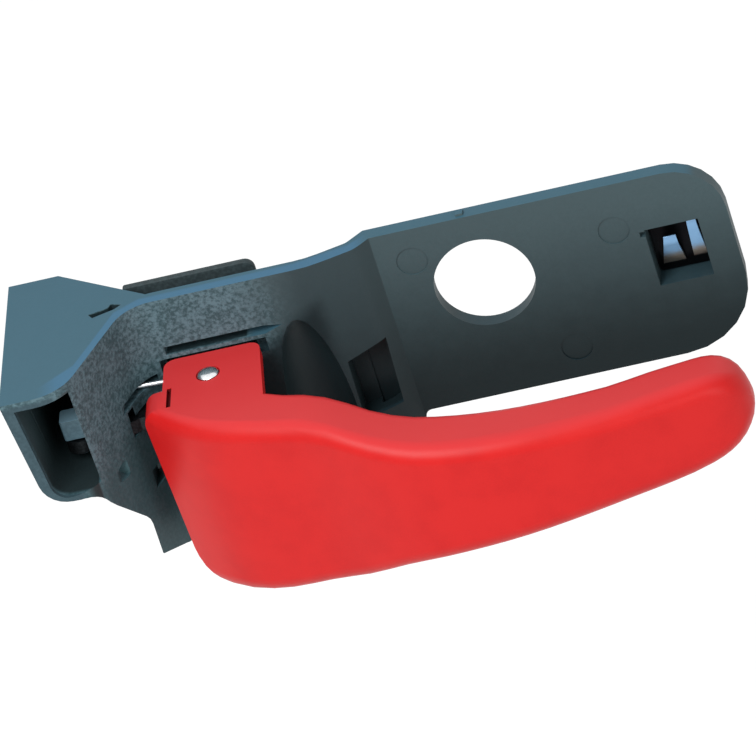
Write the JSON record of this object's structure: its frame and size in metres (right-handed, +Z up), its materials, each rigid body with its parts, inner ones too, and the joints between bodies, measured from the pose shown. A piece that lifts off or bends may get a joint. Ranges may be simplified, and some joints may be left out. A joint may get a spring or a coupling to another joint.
{
  "type": "inside door handle",
  "caption": "Inside door release handle: moulded carrier plate with a hinged pull lever, return spring, crank arm and rod clip.",
  "frame": {"origin": "centre of the flat rear face of the carrier's plate, where it lies on the door", "axes": "+X along the handle from the crank box to the free end of the plate, +Z up in use, +Y into the door"},
  "size_m": [0.1561, 0.0676, 0.06],
  "materials": {
    "carrier_plastic": "black glass-filled plastic, moulded, slightly mottled",
    "cover_plastic": "black plastic, satin",
    "lever_plastic": "red plastic, semi-gloss",
    "pin_steel": "bright turned steel",
    "spring_steel": "drawn spring wire",
    "crank_steel": "black phosphated pressed steel",
    "bush_nylon": "natural nylon",
    "clip_plastic": "grey plastic",
    "trim_clip_steel": "blued spring steel sheet"
  },
  "bodies": {
    "carrier": {"carrier_housing": "carrier_plastic", "back_cover": "cover_plastic", "upper_bush": "bush_nylon", "lower_bush": "bush_nylon", "return_spring": "spring_steel", "trim_clip": "trim_clip_steel"},
    "lever": {"pull_lever": "lever_plastic", "pivot_pin": "pin_steel", "pin_ring": "spring_steel", "crank_arm": "crank_steel"},
    "clip": {"rod_clip": "clip_plastic"}
  },
  "joints": [
    {"name": "lever_swing", "type": "hinge", "parent": "carrier", "child": "lever", "pos_m": [-0.0814, -0.01835, -0.01195], "axis": [0, 0, -1], "range_deg": [0, 25], "stiffness_Nm_per_rad": 0.25, "springref_deg": -20.05, "deforming": ["return_spring"]},
    {"name": "clip_swivel", "type": "hinge", "parent": "lever", "child": "clip", "pos_m": [-0.1112, -0.0224, 0.00285], "axis": [0, 0, 1], "range_deg": [-30, 30]}
  ]
}
